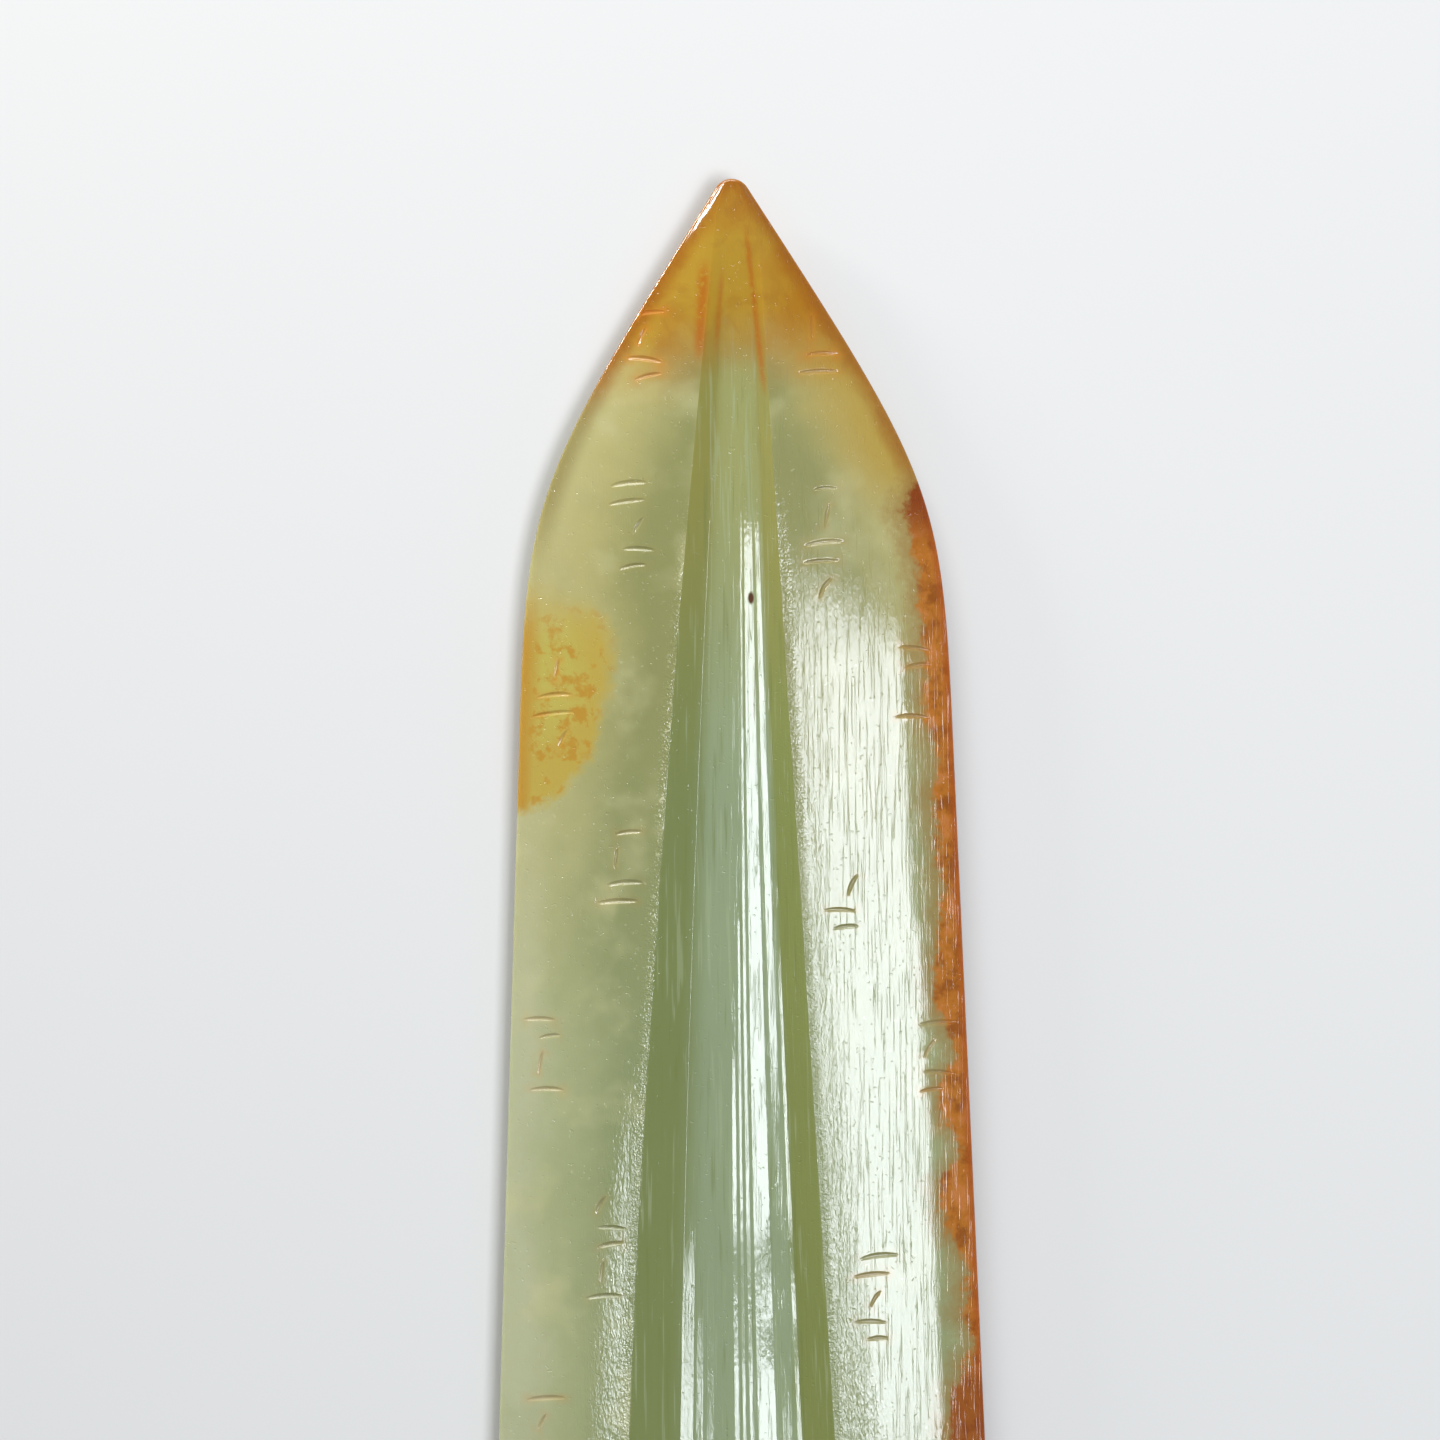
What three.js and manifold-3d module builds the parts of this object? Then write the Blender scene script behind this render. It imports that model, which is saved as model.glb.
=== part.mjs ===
/**
 * Jade dagger-axe head: a long two-edged blade with a hollow-ground channel down each face,
 * square heel shoulders, and a flat tang pierced by one lashing hole, all one piece of stone.
 *
 * Millimetres. X runs across the blade, +Y toward the point and +Z up. The axe head lies on its
 * back face, on the two arrises beside the rear channel. The origin is on the resting plane,
 * under the middle of the bounding box. "Distance" below is measured along Y from the point.
 */
import * as THREE from "three";
import { mergeVertices } from "three/addons/utils/BufferGeometryUtils.js";
import Module from "manifold-3d";

// Overall sizes
const TOTAL_LENGTH = 280;
const BLADE_LENGTH = 218;
const THICKNESS = 7.6;

// Outline of the blade: a rounded point, a curved shoulder, then straight sides that widen
const TIP_RADIUS = 2.4;
const TIP_SLOPE = 0.64;
const SHOULDER_HALF_WIDTH = 27.3;
const SHOULDER_DISTANCE = 72;
const SIDE_SLOPE = 0.037;
const TIP_HANDLE = 44.5;
const SHOULDER_HANDLE = 32.4;

// Cross-section: a convex bevel from each arris down to a narrow blunt edge
const EDGE_THICKNESS = 1.0;
const BEVEL_START_SLOPE = 0.3;
const THINNING_DISTANCE = 62;
const TIP_HEIGHT_SHARE = 0.28;

// Arrises: the two ridge lines beside the channel, which spread apart toward the heel
const LEFT_ARRIS_START = 1.4;
const LEFT_ARRIS_SPREAD = 0.112;
const LEFT_ARRIS_CURVE = 0.0002;
const RIGHT_ARRIS_START = 2.9;
const RIGHT_ARRIS_SPREAD = 0.0545;
const ARRIS_WIDTH_LIMIT = 0.48;

// Channel: places across it as shares of its width, depths as shares of that width
const CHANNEL_LEFT_FOOT = 0.27;
const CHANNEL_RIDGE = 0.62;
const CHANNEL_RIGHT_FOOT = 0.81;
const LEFT_FOOT_DEPTH = 0.082;
const RIDGE_DEPTH = 0.05;
const RIGHT_FOOT_DEPTH = 0.076;
const CHANNEL_FADE_IN = [5, 42];
const CHANNEL_RUN_OUT = [182, 208];
const BACK_CHANNEL_SHARE = 0.8;

// Tang and its lashing hole, drilled from the front, so slightly conical
const TANG_WIDTH = 44;
const TANG_THICKNESS = 5.4;
const TANG_CORNER_RADIUS = 5;
const TANG_ROOT_OVERLAP = 6;
const HOLE_FRONT_RADIUS = 5.0;
const HOLE_BACK_RADIUS = 4.5;
const HOLE_TO_HEEL = 16;
const HOLE_SEGMENTS = 48;

// Fineness of the facets
const TIP_ARC_STEPS = 7;
const SHOULDER_STEPS = 30;
const SIDE_STEPS = 28;
const BEVEL_STEPS = 5;

const { smoothstep, lerp, clamp } = THREE.MathUtils;
const MID_HEIGHT = THICKNESS / 2;
const HALF_EDGE = EDGE_THICKNESS / 2;
const TIP_Y = TOTAL_LENGTH / 2;
const HEEL_Y = TIP_Y - BLADE_LENGTH;
const BUTT_Y = -TOTAL_LENGTH / 2;

/** Stations down one cutting edge, from the point to the heel: x is half-width, y is distance. */
function edgeStations() {
  const tipAngle = Math.atan(TIP_SLOPE);
  const shoulder = new THREE.Vector2(SHOULDER_HALF_WIDTH, SHOULDER_DISTANCE);
  const heelHalfWidth = SHOULDER_HALF_WIDTH + SIDE_SLOPE * (BLADE_LENGTH - SHOULDER_DISTANCE);
  const edgeDirection = new THREE.Vector2(Math.sin(tipAngle), Math.cos(tipAngle));
  const sideDirection = new THREE.Vector2(SIDE_SLOPE, 1).normalize();

  const tip = new THREE.EllipseCurve(0, TIP_RADIUS, TIP_RADIUS, TIP_RADIUS, -Math.PI / 2, -tipAngle);
  const tipEnd = tip.getPoint(1);
  const point = new THREE.CubicBezierCurve(
    tipEnd,
    tipEnd.clone().addScaledVector(edgeDirection, TIP_HANDLE),
    shoulder.clone().addScaledVector(sideDirection, -SHOULDER_HANDLE),
    shoulder,
  );
  const side = new THREE.LineCurve(shoulder, new THREE.Vector2(heelHalfWidth, BLADE_LENGTH));

  // Each curve gives its own points but the first: the very first has no width,
  // and the others repeat the end of the curve before.
  return [
    ...tip.getPoints(TIP_ARC_STEPS).slice(1),
    ...point.getPoints(SHOULDER_STEPS).slice(1),
    ...side.getPoints(SIDE_STEPS).slice(1),
  ];
}

/** Height of the arrises above the middle plane, which falls off toward the point. */
function arrisHeight(distance) {
  const back = 1 - clamp(distance / THINNING_DISTANCE, 0, 1);
  const share = lerp(1, TIP_HEIGHT_SHARE, back * back);
  return lerp(HALF_EDGE, MID_HEIGHT, share);
}

/** Distances of the two arrises from the blade's axis. */
function arrisOffsets(distance, halfWidth) {
  const limit = ARRIS_WIDTH_LIMIT * halfWidth;
  const left = LEFT_ARRIS_START + LEFT_ARRIS_SPREAD * distance - LEFT_ARRIS_CURVE * distance ** 2;
  const right = RIGHT_ARRIS_START + RIGHT_ARRIS_SPREAD * distance;
  return { left: Math.min(left, limit), right: Math.min(right, limit) };
}

/** Share of the channel's full depth: it fades in behind the point and runs out before the heel. */
function channelShare(distance) {
  return smoothstep(distance, ...CHANNEL_FADE_IN) * (1 - smoothstep(distance, ...CHANNEL_RUN_OUT));
}

/** One half-section, left edge to right edge: x across, height above the middle plane. */
function sectionPoints(distance, halfWidth, depthShare) {
  const arris = arrisOffsets(distance, halfWidth);
  const height = arrisHeight(distance);
  const drop = height - HALF_EDGE;
  const channelWidth = arris.left + arris.right;
  const bevel = (sign, offset, t) => ({
    x: sign * lerp(offset, halfWidth, t),
    height: height - drop * lerp(BEVEL_START_SLOPE, 1, t) * t,
  });
  const channel = (place, depth) => ({
    x: channelWidth * place - arris.left,
    height: height - channelWidth * depth * depthShare * channelShare(distance),
  });

  const points = [];
  for (let step = BEVEL_STEPS; step >= 0; step--) points.push(bevel(-1, arris.left, step / BEVEL_STEPS));
  points.push(channel(CHANNEL_LEFT_FOOT, LEFT_FOOT_DEPTH));
  points.push(channel(CHANNEL_RIDGE, RIDGE_DEPTH));
  points.push(channel(CHANNEL_RIGHT_FOOT, RIGHT_FOOT_DEPTH));
  for (let step = 0; step <= BEVEL_STEPS; step++) points.push(bevel(1, arris.right, step / BEVEL_STEPS));
  return points;
}

/** The blade: rings of front and back points joined station to station, closed at both ends. */
function bladeGeometry() {
  const stations = edgeStations();
  const positions = [];
  let across = 0;
  for (const { x: halfWidth, y: distance } of stations) {
    const front = sectionPoints(distance, halfWidth, 1);
    const back = sectionPoints(distance, halfWidth, BACK_CHANNEL_SHARE);
    across = front.length;
    for (const p of front) positions.push(p.x, TIP_Y - distance, MID_HEIGHT + p.height);
    for (const p of back.reverse()) positions.push(p.x, TIP_Y - distance, MID_HEIGHT - p.height);
  }

  const ring = 2 * across;
  const triangles = [];
  const quad = (a, b, c, d) => triangles.push(a, b, c, a, c, d);
  for (let station = 0; station + 1 < stations.length; station++) {
    const near = station * ring;
    const far = near + ring;
    for (let i = 0; i < ring; i++) {
      const next = (i + 1) % ring;
      quad(near + i, far + i, far + next, near + next);
    }
  }
  const lastRing = (stations.length - 1) * ring;
  for (let i = 0; i + 1 < across; i++) {
    const opposite = ring - 1 - i;
    quad(i, i + 1, opposite - 1, opposite);
    quad(lastRing + opposite, lastRing + opposite - 1, lastRing + i + 1, lastRing + i);
  }

  const geometry = new THREE.BufferGeometry();
  geometry.setAttribute("position", new THREE.Float32BufferAttribute(positions, 3));
  geometry.setIndex(triangles);
  return geometry;
}

/** The tang: a flat plate with rounded butt corners, rooted a little way inside the blade. */
function tangGeometry() {
  const halfWidth = TANG_WIDTH / 2;
  const r = TANG_CORNER_RADIUS;
  const outline = new THREE.Shape();
  outline.moveTo(halfWidth, HEEL_Y + TANG_ROOT_OVERLAP);
  outline.lineTo(-halfWidth, HEEL_Y + TANG_ROOT_OVERLAP);
  outline.lineTo(-halfWidth, BUTT_Y + r);
  outline.absarc(-halfWidth + r, BUTT_Y + r, r, Math.PI, 1.5 * Math.PI, false);
  outline.lineTo(halfWidth - r, BUTT_Y);
  outline.absarc(halfWidth - r, BUTT_Y + r, r, 1.5 * Math.PI, 2 * Math.PI, false);
  outline.closePath();
  const geometry = new THREE.ExtrudeGeometry(outline, {
    depth: TANG_THICKNESS,
    bevelEnabled: false,
    curveSegments: 8,
  });
  return geometry.translate(0, 0, MID_HEIGHT - TANG_THICKNESS / 2);
}

/** The cutter for the lashing hole: a cone that runs past both faces of the tang. */
function holeGeometry() {
  const overrun = 2;
  const flare = (HOLE_FRONT_RADIUS - HOLE_BACK_RADIUS) / TANG_THICKNESS * overrun;
  const geometry = new THREE.CylinderGeometry(
    HOLE_FRONT_RADIUS + flare,
    HOLE_BACK_RADIUS - flare,
    TANG_THICKNESS + 2 * overrun,
    HOLE_SEGMENTS,
  );
  return geometry.rotateX(Math.PI / 2).translate(0, HEEL_Y - HOLE_TO_HEEL, MID_HEIGHT);
}

/** A three.js geometry as a manifold solid. */
function toSolid(wasm, geometry) {
  const bare = geometry.clone();
  bare.deleteAttribute("normal");
  bare.deleteAttribute("uv");
  const merged = mergeVertices(bare);
  return new wasm.Manifold(new wasm.Mesh({
    numProp: 3,
    vertProperties: new Float32Array(merged.attributes.position.array),
    triVerts: new Uint32Array(merged.index.array),
  }));
}

/** A manifold solid as a three.js geometry. */
function toGeometry(solid) {
  const { vertProperties, triVerts } = solid.getMesh();
  const geometry = new THREE.BufferGeometry();
  geometry.setAttribute("position", new THREE.BufferAttribute(vertProperties, 3));
  geometry.setIndex(new THREE.BufferAttribute(triVerts, 1));
  geometry.computeVertexNormals();
  return geometry;
}

const wasm = await Module();
wasm.setup();

const blade = toSolid(wasm, bladeGeometry());
const tang = toSolid(wasm, tangGeometry());
const hole = toSolid(wasm, holeGeometry());
const jade = new THREE.MeshStandardMaterial({ color: 0xa3a676, roughness: 0.3, metalness: 0 });
const axeHead = new THREE.Mesh(toGeometry(blade.add(tang).subtract(hole)), jade);
axeHead.name = "dagger_axe_head";

const model = new THREE.Group();
model.add(axeHead);
export default model;
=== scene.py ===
"""Looks of the jade dagger-axe head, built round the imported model.

One fine mesh stands for the CAD node. It has the same outline and thickness, and adds the
channel's grinding facets, engraved strokes and softened edges, in mottled jade. The shape is
worked out in millimetres: x runs across the blade, and d is the distance from the point.
"""
import math

import bpy
import numpy as np
from mathutils import Matrix, Vector
from mathutils.geometry import delaunay_2d_cdt


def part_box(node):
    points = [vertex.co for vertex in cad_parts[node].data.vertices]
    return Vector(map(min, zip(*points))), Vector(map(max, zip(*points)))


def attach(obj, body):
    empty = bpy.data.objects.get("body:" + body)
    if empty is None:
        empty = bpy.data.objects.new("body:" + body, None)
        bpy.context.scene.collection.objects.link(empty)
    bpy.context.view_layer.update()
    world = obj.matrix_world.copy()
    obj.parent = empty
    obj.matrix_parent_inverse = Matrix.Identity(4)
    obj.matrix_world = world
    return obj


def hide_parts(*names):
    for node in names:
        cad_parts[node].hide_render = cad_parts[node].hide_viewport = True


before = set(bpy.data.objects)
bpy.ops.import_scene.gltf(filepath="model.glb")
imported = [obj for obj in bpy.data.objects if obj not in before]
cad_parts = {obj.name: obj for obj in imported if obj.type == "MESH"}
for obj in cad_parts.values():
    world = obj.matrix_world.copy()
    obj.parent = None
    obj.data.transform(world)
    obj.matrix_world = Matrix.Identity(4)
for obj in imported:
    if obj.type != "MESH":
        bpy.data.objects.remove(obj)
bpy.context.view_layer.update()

MM = 0.001
NODE = "dagger_axe_head"
box_low, box_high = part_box(NODE)
TOTAL_LENGTH = (box_high.y - box_low.y) / MM
THICKNESS = (box_high.z - box_low.z) / MM
TIP_Y = box_high.y / MM
MID_Z = THICKNESS / 2

# Outline, the same as the CAD solid's
BLADE_LENGTH = 218
TIP_RADIUS = 2.4
TIP_SLOPE = 0.64
SHOULDER_HALF_WIDTH = 27.3
SHOULDER_DISTANCE = 72
SIDE_SLOPE = 0.037
TIP_HANDLE = 44.5
SHOULDER_HANDLE = 32.4
HEEL_HALF_WIDTH = SHOULDER_HALF_WIDTH + SIDE_SLOPE * (BLADE_LENGTH - SHOULDER_DISTANCE)
TANG_HALF_WIDTH = 22
TANG_HALF_THICKNESS = 2.7
TANG_CORNER = 5
HEEL_CORNER = 0.8
TANG_ROOT_CORNER = 1.0
HOLE_DISTANCE = BLADE_LENGTH + 16
HOLE_FRONT_RADIUS = 5.0
HOLE_BACK_RADIUS = 4.5
SIDE_BULGE = 0.02

# How finely the outline is divided
TIP_ARC_POINTS = 12
SHOULDER_STEPS = 80
SMALL_CORNER_STEPS = 6
BUTT_CORNER_STEPS = 14
SIDE_SPACING = 1.0
HEEL_MARGIN = 0.9
HOLE_STEPS = 72

# Cross-section
HALF_EDGE = 0.5
BEVEL_START_SLOPE = 0.3
THINNING_DISTANCE = 62
TIP_HEIGHT_SHARE = 0.28
LEFT_ARRIS_START = 1.4
LEFT_ARRIS_SPREAD = 0.112
LEFT_ARRIS_CURVE = 0.0002
RIGHT_ARRIS_START = 2.9
RIGHT_ARRIS_SPREAD = 0.0545
ARRIS_WIDTH_LIMIT = 0.48
CHANNEL_FADE_IN = (5, 18)
FACET_FADE_IN = (14, 42)
CHANNEL_RUN_OUT = (182, 208)
HEEL_STEP = (BLADE_LENGTH - 0.25, BLADE_LENGTH + 0.2)
BACK_CHANNEL_SHARE = 0.8
SURFACE_CLEARANCE = 0.03

# Slight unevenness of the polished faces
BLADE_SWELL = 0.018
BLADE_SWELL_SIZES = (16, 44)
TANG_SWELL = 0.03
TANG_SWELL_SIZES = (30, 30)

# Softened edges
EDGE_INSET = 0.4
EDGE_ROUNDING = 0.42
EDGE_ROUNDING_LIMIT = 0.84
ROUNDING_STEPS = 4
CREASE_SOFTNESS = 0.03
HOLE_RIM_WIDTH = 0.6
HOLE_RIM_DROP = 0.45


def smoothstep(value, low, high):
    t = np.clip((value - low) / (high - low), 0, 1)
    return t * t * (3 - 2 * t)


def lerp(a, b, t):
    return a + (b - a) * t


# ---------------------------------------------------------------- outline

def line_points(start, end, spacing):
    steps = max(1, round(math.dist(start, end) / spacing))
    return [lerp(np.array(start, float), np.array(end, float), k / steps) for k in range(steps)]


def bezier_points(p0, p1, p2, p3, steps):
    t = np.arange(steps)[:, None] / steps
    u = 1 - t
    return list(u ** 3 * p0 + 3 * u ** 2 * t * p1 + 3 * u * t ** 2 * p2 + t ** 3 * p3)


def corner_points(before, corner, after, radius, steps):
    """Points of a rounded corner, as a quadratic curve between its two tangent points."""
    corner = np.array(corner, float)
    a = corner + radius * (before - corner) / np.linalg.norm(before - corner)
    b = corner + radius * (after - corner) / np.linalg.norm(after - corner)
    t = np.arange(steps + 1)[:, None] / steps
    return list((1 - t) ** 2 * a + 2 * (1 - t) * t * corner + t ** 2 * b)


def half_outline():
    """Right half of the plan, from the point to the middle of the butt, as (x, d)."""
    tip_angle = math.atan(TIP_SLOPE)
    angles = np.linspace(-math.pi / 2, -tip_angle, TIP_ARC_POINTS)[:-1]
    points = [np.array([TIP_RADIUS * math.cos(a), TIP_RADIUS * (1 + math.sin(a))]) for a in angles]
    tip_end = TIP_RADIUS * np.array([math.cos(tip_angle), 1 - math.sin(tip_angle)])
    shoulder = np.array([SHOULDER_HALF_WIDTH, SHOULDER_DISTANCE], float)
    side = np.array([SIDE_SLOPE, 1]) / math.hypot(SIDE_SLOPE, 1)
    edge = np.array([math.sin(tip_angle), math.cos(tip_angle)])
    points += bezier_points(tip_end, tip_end + TIP_HANDLE * edge, shoulder - SHOULDER_HANDLE * side,
                            shoulder, SHOULDER_STEPS)
    corners = [
        (np.array([HEEL_HALF_WIDTH, BLADE_LENGTH]), HEEL_CORNER, SMALL_CORNER_STEPS),
        (np.array([TANG_HALF_WIDTH, BLADE_LENGTH]), TANG_ROOT_CORNER, SMALL_CORNER_STEPS),
        (np.array([TANG_HALF_WIDTH, TOTAL_LENGTH]), TANG_CORNER, BUTT_CORNER_STEPS),
    ]
    stops = [shoulder] + [c[0] for c in corners] + [np.array([0.0, TOTAL_LENGTH])]
    start = shoulder
    for k, (corner, radius, steps) in enumerate(corners):
        turn = corner_points(stops[k], corner, stops[k + 2], radius, steps)
        run = line_points(start, turn[0], SIDE_SPACING)
        if k == 0:
            # The long side of the blade bulges a little
            for step, point in enumerate(run):
                along = step / len(run)
                point[0] += SIDE_BULGE * 4 * along * (1 - along)
        points += run + turn[:-1]
        start = turn[-1]
    points += line_points(start, stops[-1], SIDE_SPACING) + [stops[-1]]
    return np.array(points)


def outline_loop():
    """The whole plan as a closed loop of points, with outward normals, anticlockwise from above."""
    right = half_outline()
    left = right[1:-1][::-1] * [-1, 1]
    loop = np.vstack([right, left])[::-1]
    ahead = np.roll(loop, -1, axis=0) - np.roll(loop, 1, axis=0)
    ahead /= np.linalg.norm(ahead, axis=1)[:, None]
    normals = np.stack([-ahead[:, 1], ahead[:, 0]], axis=1)
    return loop, normals


HALF_OUTLINE = half_outline()
BLADE_OUTLINE = HALF_OUTLINE[HALF_OUTLINE[:, 1] <= BLADE_LENGTH - HEEL_MARGIN]


def half_width(d):
    """Half-width of the blade at distance d, with no rounding of the heel's corners."""
    reach = np.clip(d, 0, BLADE_LENGTH)
    beyond = np.maximum(reach - BLADE_OUTLINE[-1, 1], 0) * SIDE_SLOPE
    return np.interp(reach, BLADE_OUTLINE[:, 1], BLADE_OUTLINE[:, 0]) + beyond


# ---------------------------------------------------------------- surface of the stone

def waves(x, d, seed, wave_x, wave_d, count=7):
    """Smooth unevenness between -1 and 1, as a few crossing waves."""
    rng = np.random.default_rng(seed)
    total = np.zeros(np.shape(x))
    for _ in range(count):
        kx, kd = rng.normal(0, 1, 2)
        phase = rng.uniform(0, 2 * math.pi)
        total += np.sin(2 * math.pi * (kx * x / wave_x + kd * d / wave_d) + phase)
    return total / count


def arrises(d, w):
    """Distances of the two arrises from the blade's axis."""
    left = LEFT_ARRIS_START + LEFT_ARRIS_SPREAD * d - LEFT_ARRIS_CURVE * d ** 2
    right = RIGHT_ARRIS_START + RIGHT_ARRIS_SPREAD * d
    limit = ARRIS_WIDTH_LIMIT * w
    return np.minimum(left, limit), np.minimum(right, limit)


def arris_height(d):
    """Height of the arrises above the middle plane, which falls off toward the point."""
    back = 1 - np.clip(d / THINNING_DISTANCE, 0, 1)
    return lerp(HALF_EDGE, MID_Z - SURFACE_CLEARANCE, lerp(1, TIP_HEIGHT_SHARE, back ** 2))


# Grinding facets across the channel, from the left arris: where each starts, as a share of the
# width, its slope in degrees near the shoulder and near the heel (falling to the right is
# positive), and the distances over which it changes from the one to the other.
FACETS = [
    (0.000, 19, 22, 60, 120),
    (0.205, 18, 21, 60, 120),
    (0.250, -4, 9, 112, 142),
    (0.312, -4, -3, 112, 142),
    (0.325, -4, 7, 120, 150),
    (0.360, -4, -3, 120, 150),
    (0.379, -4, 6, 125, 152),
    (0.415, -4, -4, 60, 150),
    (0.517, -4, 9, 92, 120),
    (0.540, -4, -8, 92, 120),
    (0.558, -4, 8, 84, 100),
    (0.574, -4, -8, 84, 100),
    (0.592, 6, 8, 60, 150),
    (0.612, -9, -8, 60, 150),
    (0.632, 7, 9, 60, 150),
    (0.722, -7, -6, 60, 150),
    (0.752, 7, 4, 60, 130),
    (0.800, -3, -6, 60, 150),
    (0.824, -3, 7, 84, 104),
    (0.846, -25, -30, 60, 150),
]
FACET_STARTS = np.array([f[0] for f in FACETS])
# The left wall's facets have their full slope from the first; the rest gain it behind the point
WALL_FACETS = 2
# Each facet's slope wavers down the blade, by degrees and over millimetres
FACET_WAVER = 2.2
FACET_WAVE = 34
FACET_SEED = 40


def channel_strength(d):
    """Share of the channel's full depth at distance d."""
    return smoothstep(d, *CHANNEL_FADE_IN) * (1 - smoothstep(d, *CHANNEL_RUN_OUT))


def channel_depth(s, d, width):
    """Depth below the line between the arrises at share s of the channel's width."""
    knots = np.append(FACET_STARTS, 1.0)
    slopes = []
    for k, (_, near, far, start, full) in enumerate(FACETS):
        waver = FACET_WAVER * waves(0 * d, d, FACET_SEED + k, 1, FACET_WAVE, 4)
        ripening = 1 if k < WALL_FACETS else smoothstep(d, *FACET_FADE_IN)
        degrees = lerp(near, far, smoothstep(d, start, full)) + waver
        slopes.append(ripening * np.tan(np.radians(degrees)))
    falls = np.array(slopes[:-1]) * np.diff(knots)[:-1, None]
    depths = np.vstack([np.zeros_like(d), np.cumsum(falls, axis=0), np.zeros_like(d)])
    index = np.clip(np.searchsorted(knots, s, side="right") - 1, 0, len(FACETS) - 1)
    here = np.arange(len(s))
    t = (s - knots[index]) / (knots[index + 1] - knots[index])
    return width * lerp(depths[index, here], depths[index + 1, here], t)


# The back's channel: places across it and depths there, both as shares of its width
BACK_PLACES = (0, 0.24, 0.58, 0.8, 1)
BACK_DEPTHS = (0, 0.078, 0.056, 0.074, 0)


def plain_depth(s, width):
    """The back's channel, with no facets but its two walls and a low middle ridge."""
    return width * np.interp(s, BACK_PLACES, BACK_DEPTHS)


# The front's right bevel turns down more steeply beyond this share of its width
BEVEL_TURN = 0.72
BEVEL_TURN_FADE_IN = (42, 64)
BEVEL_HOLLOW = 0.55
STEEP_START = 1.5

# Worn roll-over beside the left arris of the lower blade
ROLL_DEPTH = 1.15
ROLL_WIDTH = 9.0
ROLL_FADE_IN = (88, 142)
ROLL_RUN_OUT = (196, 214)

# Fine hollow beside the right arris
LIP_DEPTH = 0.03
LIP_PLACES = (0, 0.35, 0.85)
LIP_FADE_IN = (20, 46)


def turned_bevel(t):
    """Share of the bevel's whole fall at share t of its width, for the bevel that turns down."""
    level = BEVEL_START_SLOPE * BEVEL_TURN + BEVEL_HOLLOW * BEVEL_TURN ** 2
    left_over = 1 - BEVEL_TURN
    curve = (1 - level - STEEP_START * left_over) / left_over ** 2
    beyond = t - BEVEL_TURN
    steep = level + STEEP_START * beyond + curve * beyond ** 2
    return np.where(t < BEVEL_TURN, (BEVEL_START_SLOPE + BEVEL_HOLLOW * t) * t, steep)


def blade_height(x, d, front):
    """Height of the blade's surface above the middle plane, before strokes."""
    w = half_width(d)
    left, right = arrises(d, w)
    height = arris_height(d)
    width = left + right
    offset = np.where(x < 0, left, right)
    outward = np.abs(x) - offset
    t = np.clip(outward / np.maximum(w - offset, 0.01), 0, 1.05)
    fall = lerp(BEVEL_START_SLOPE, 1, t) * t
    if front:
        fall = lerp(fall, turned_bevel(t), smoothstep(d, *BEVEL_TURN_FADE_IN) * (x > 0))
    bevel = height - (height - HALF_EDGE) * fall

    share = (x + left) / np.maximum(width, 0.01)
    inside = (share > 0) & (share < 1)
    s = np.clip(share, 0, 1)
    strength = channel_strength(d)
    if front:
        depth = channel_depth(s, d, width)
        roll = ROLL_DEPTH * smoothstep(d, *ROLL_FADE_IN) * (1 - smoothstep(d, *ROLL_RUN_OUT))
        bevel = bevel - np.where(x < 0, roll * (1 - np.clip(outward / ROLL_WIDTH, 0, 1)) ** 2, 0)
        lip = LIP_DEPTH * smoothstep(d, *LIP_FADE_IN)
        bevel = bevel - np.where(x > 0, lip * np.interp(outward, LIP_PLACES, (0, 1, 0)), 0)
        chord = height - roll * (1 - s)
    else:
        depth = plain_depth(s, width) * BACK_CHANNEL_SHARE
        chord = height
    surface = np.where(inside, chord - strength * depth, bevel)
    swell = BLADE_SWELL * waves(x, d, 3 if front else 4, *BLADE_SWELL_SIZES)
    return surface + np.minimum(swell, SURFACE_CLEARANCE)


def hole_radius(front):
    return HOLE_FRONT_RADIUS if front else HOLE_BACK_RADIUS


def tang_height(x, d, front):
    """Height of the tang's face above the middle plane, rounded over at the hole's rim."""
    swell = TANG_SWELL * waves(x, d, 5 if front else 6, *TANG_SWELL_SIZES)
    gap = np.hypot(x, d - HOLE_DISTANCE) - hole_radius(front)
    rim = 1 - np.clip(gap / HOLE_RIM_WIDTH, 0, 1)
    return TANG_HALF_THICKNESS - TANG_SWELL + swell - HOLE_RIM_DROP * (1 - np.sqrt(1 - 0.999 * rim ** 2))


# ---------------------------------------------------------------- engraved strokes

# Rows of shallow cut strokes down the bevels: the middle of each row (x, d), its length down
# the blade, and how much rust has settled in its strokes.
STROKE_ROWS = [
    (-10.7, 22.3, 11.6, 0.9), (-12.7, 44.6, 13.2, 0.1), (-22.0, 66.2, 12.4, 0.6),
    (-14.3, 87.1, 11.0, 0.2), (-24.3, 110.6, 11.4, 0.4), (-16.6, 134.0, 13.6, 0.2),
    (-24.6, 158.4, 12.4, 0.3), (-19.2, 182.0, 11.4, 0.3),
    (10.8, 22.2, 10.2, 0.6), (11.4, 45.9, 14.0, 0.2), (22.8, 64.2, 10.6, 0.6),
    (13.6, 92.8, 11.0, 0.3), (24.4, 113.5, 15.6, 0.6), (16.5, 141.0, 12.6, 0.4),
    (25.6, 162.4, 12.8, 0.6), (19.4, 184.0, 12.0, 0.4),
]
# The strokes of a row, taken in turn: length, angle from straight across, bow as a share of length
STROKE_KINDS = [
    (4.8, 3, 0.03), (2.6, 62, 0.06), (4.0, -5, 0.04),
    (3.0, 7, 0.05), (2.9, 84, 0.02), (4.4, 2, 0.05),
]
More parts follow.
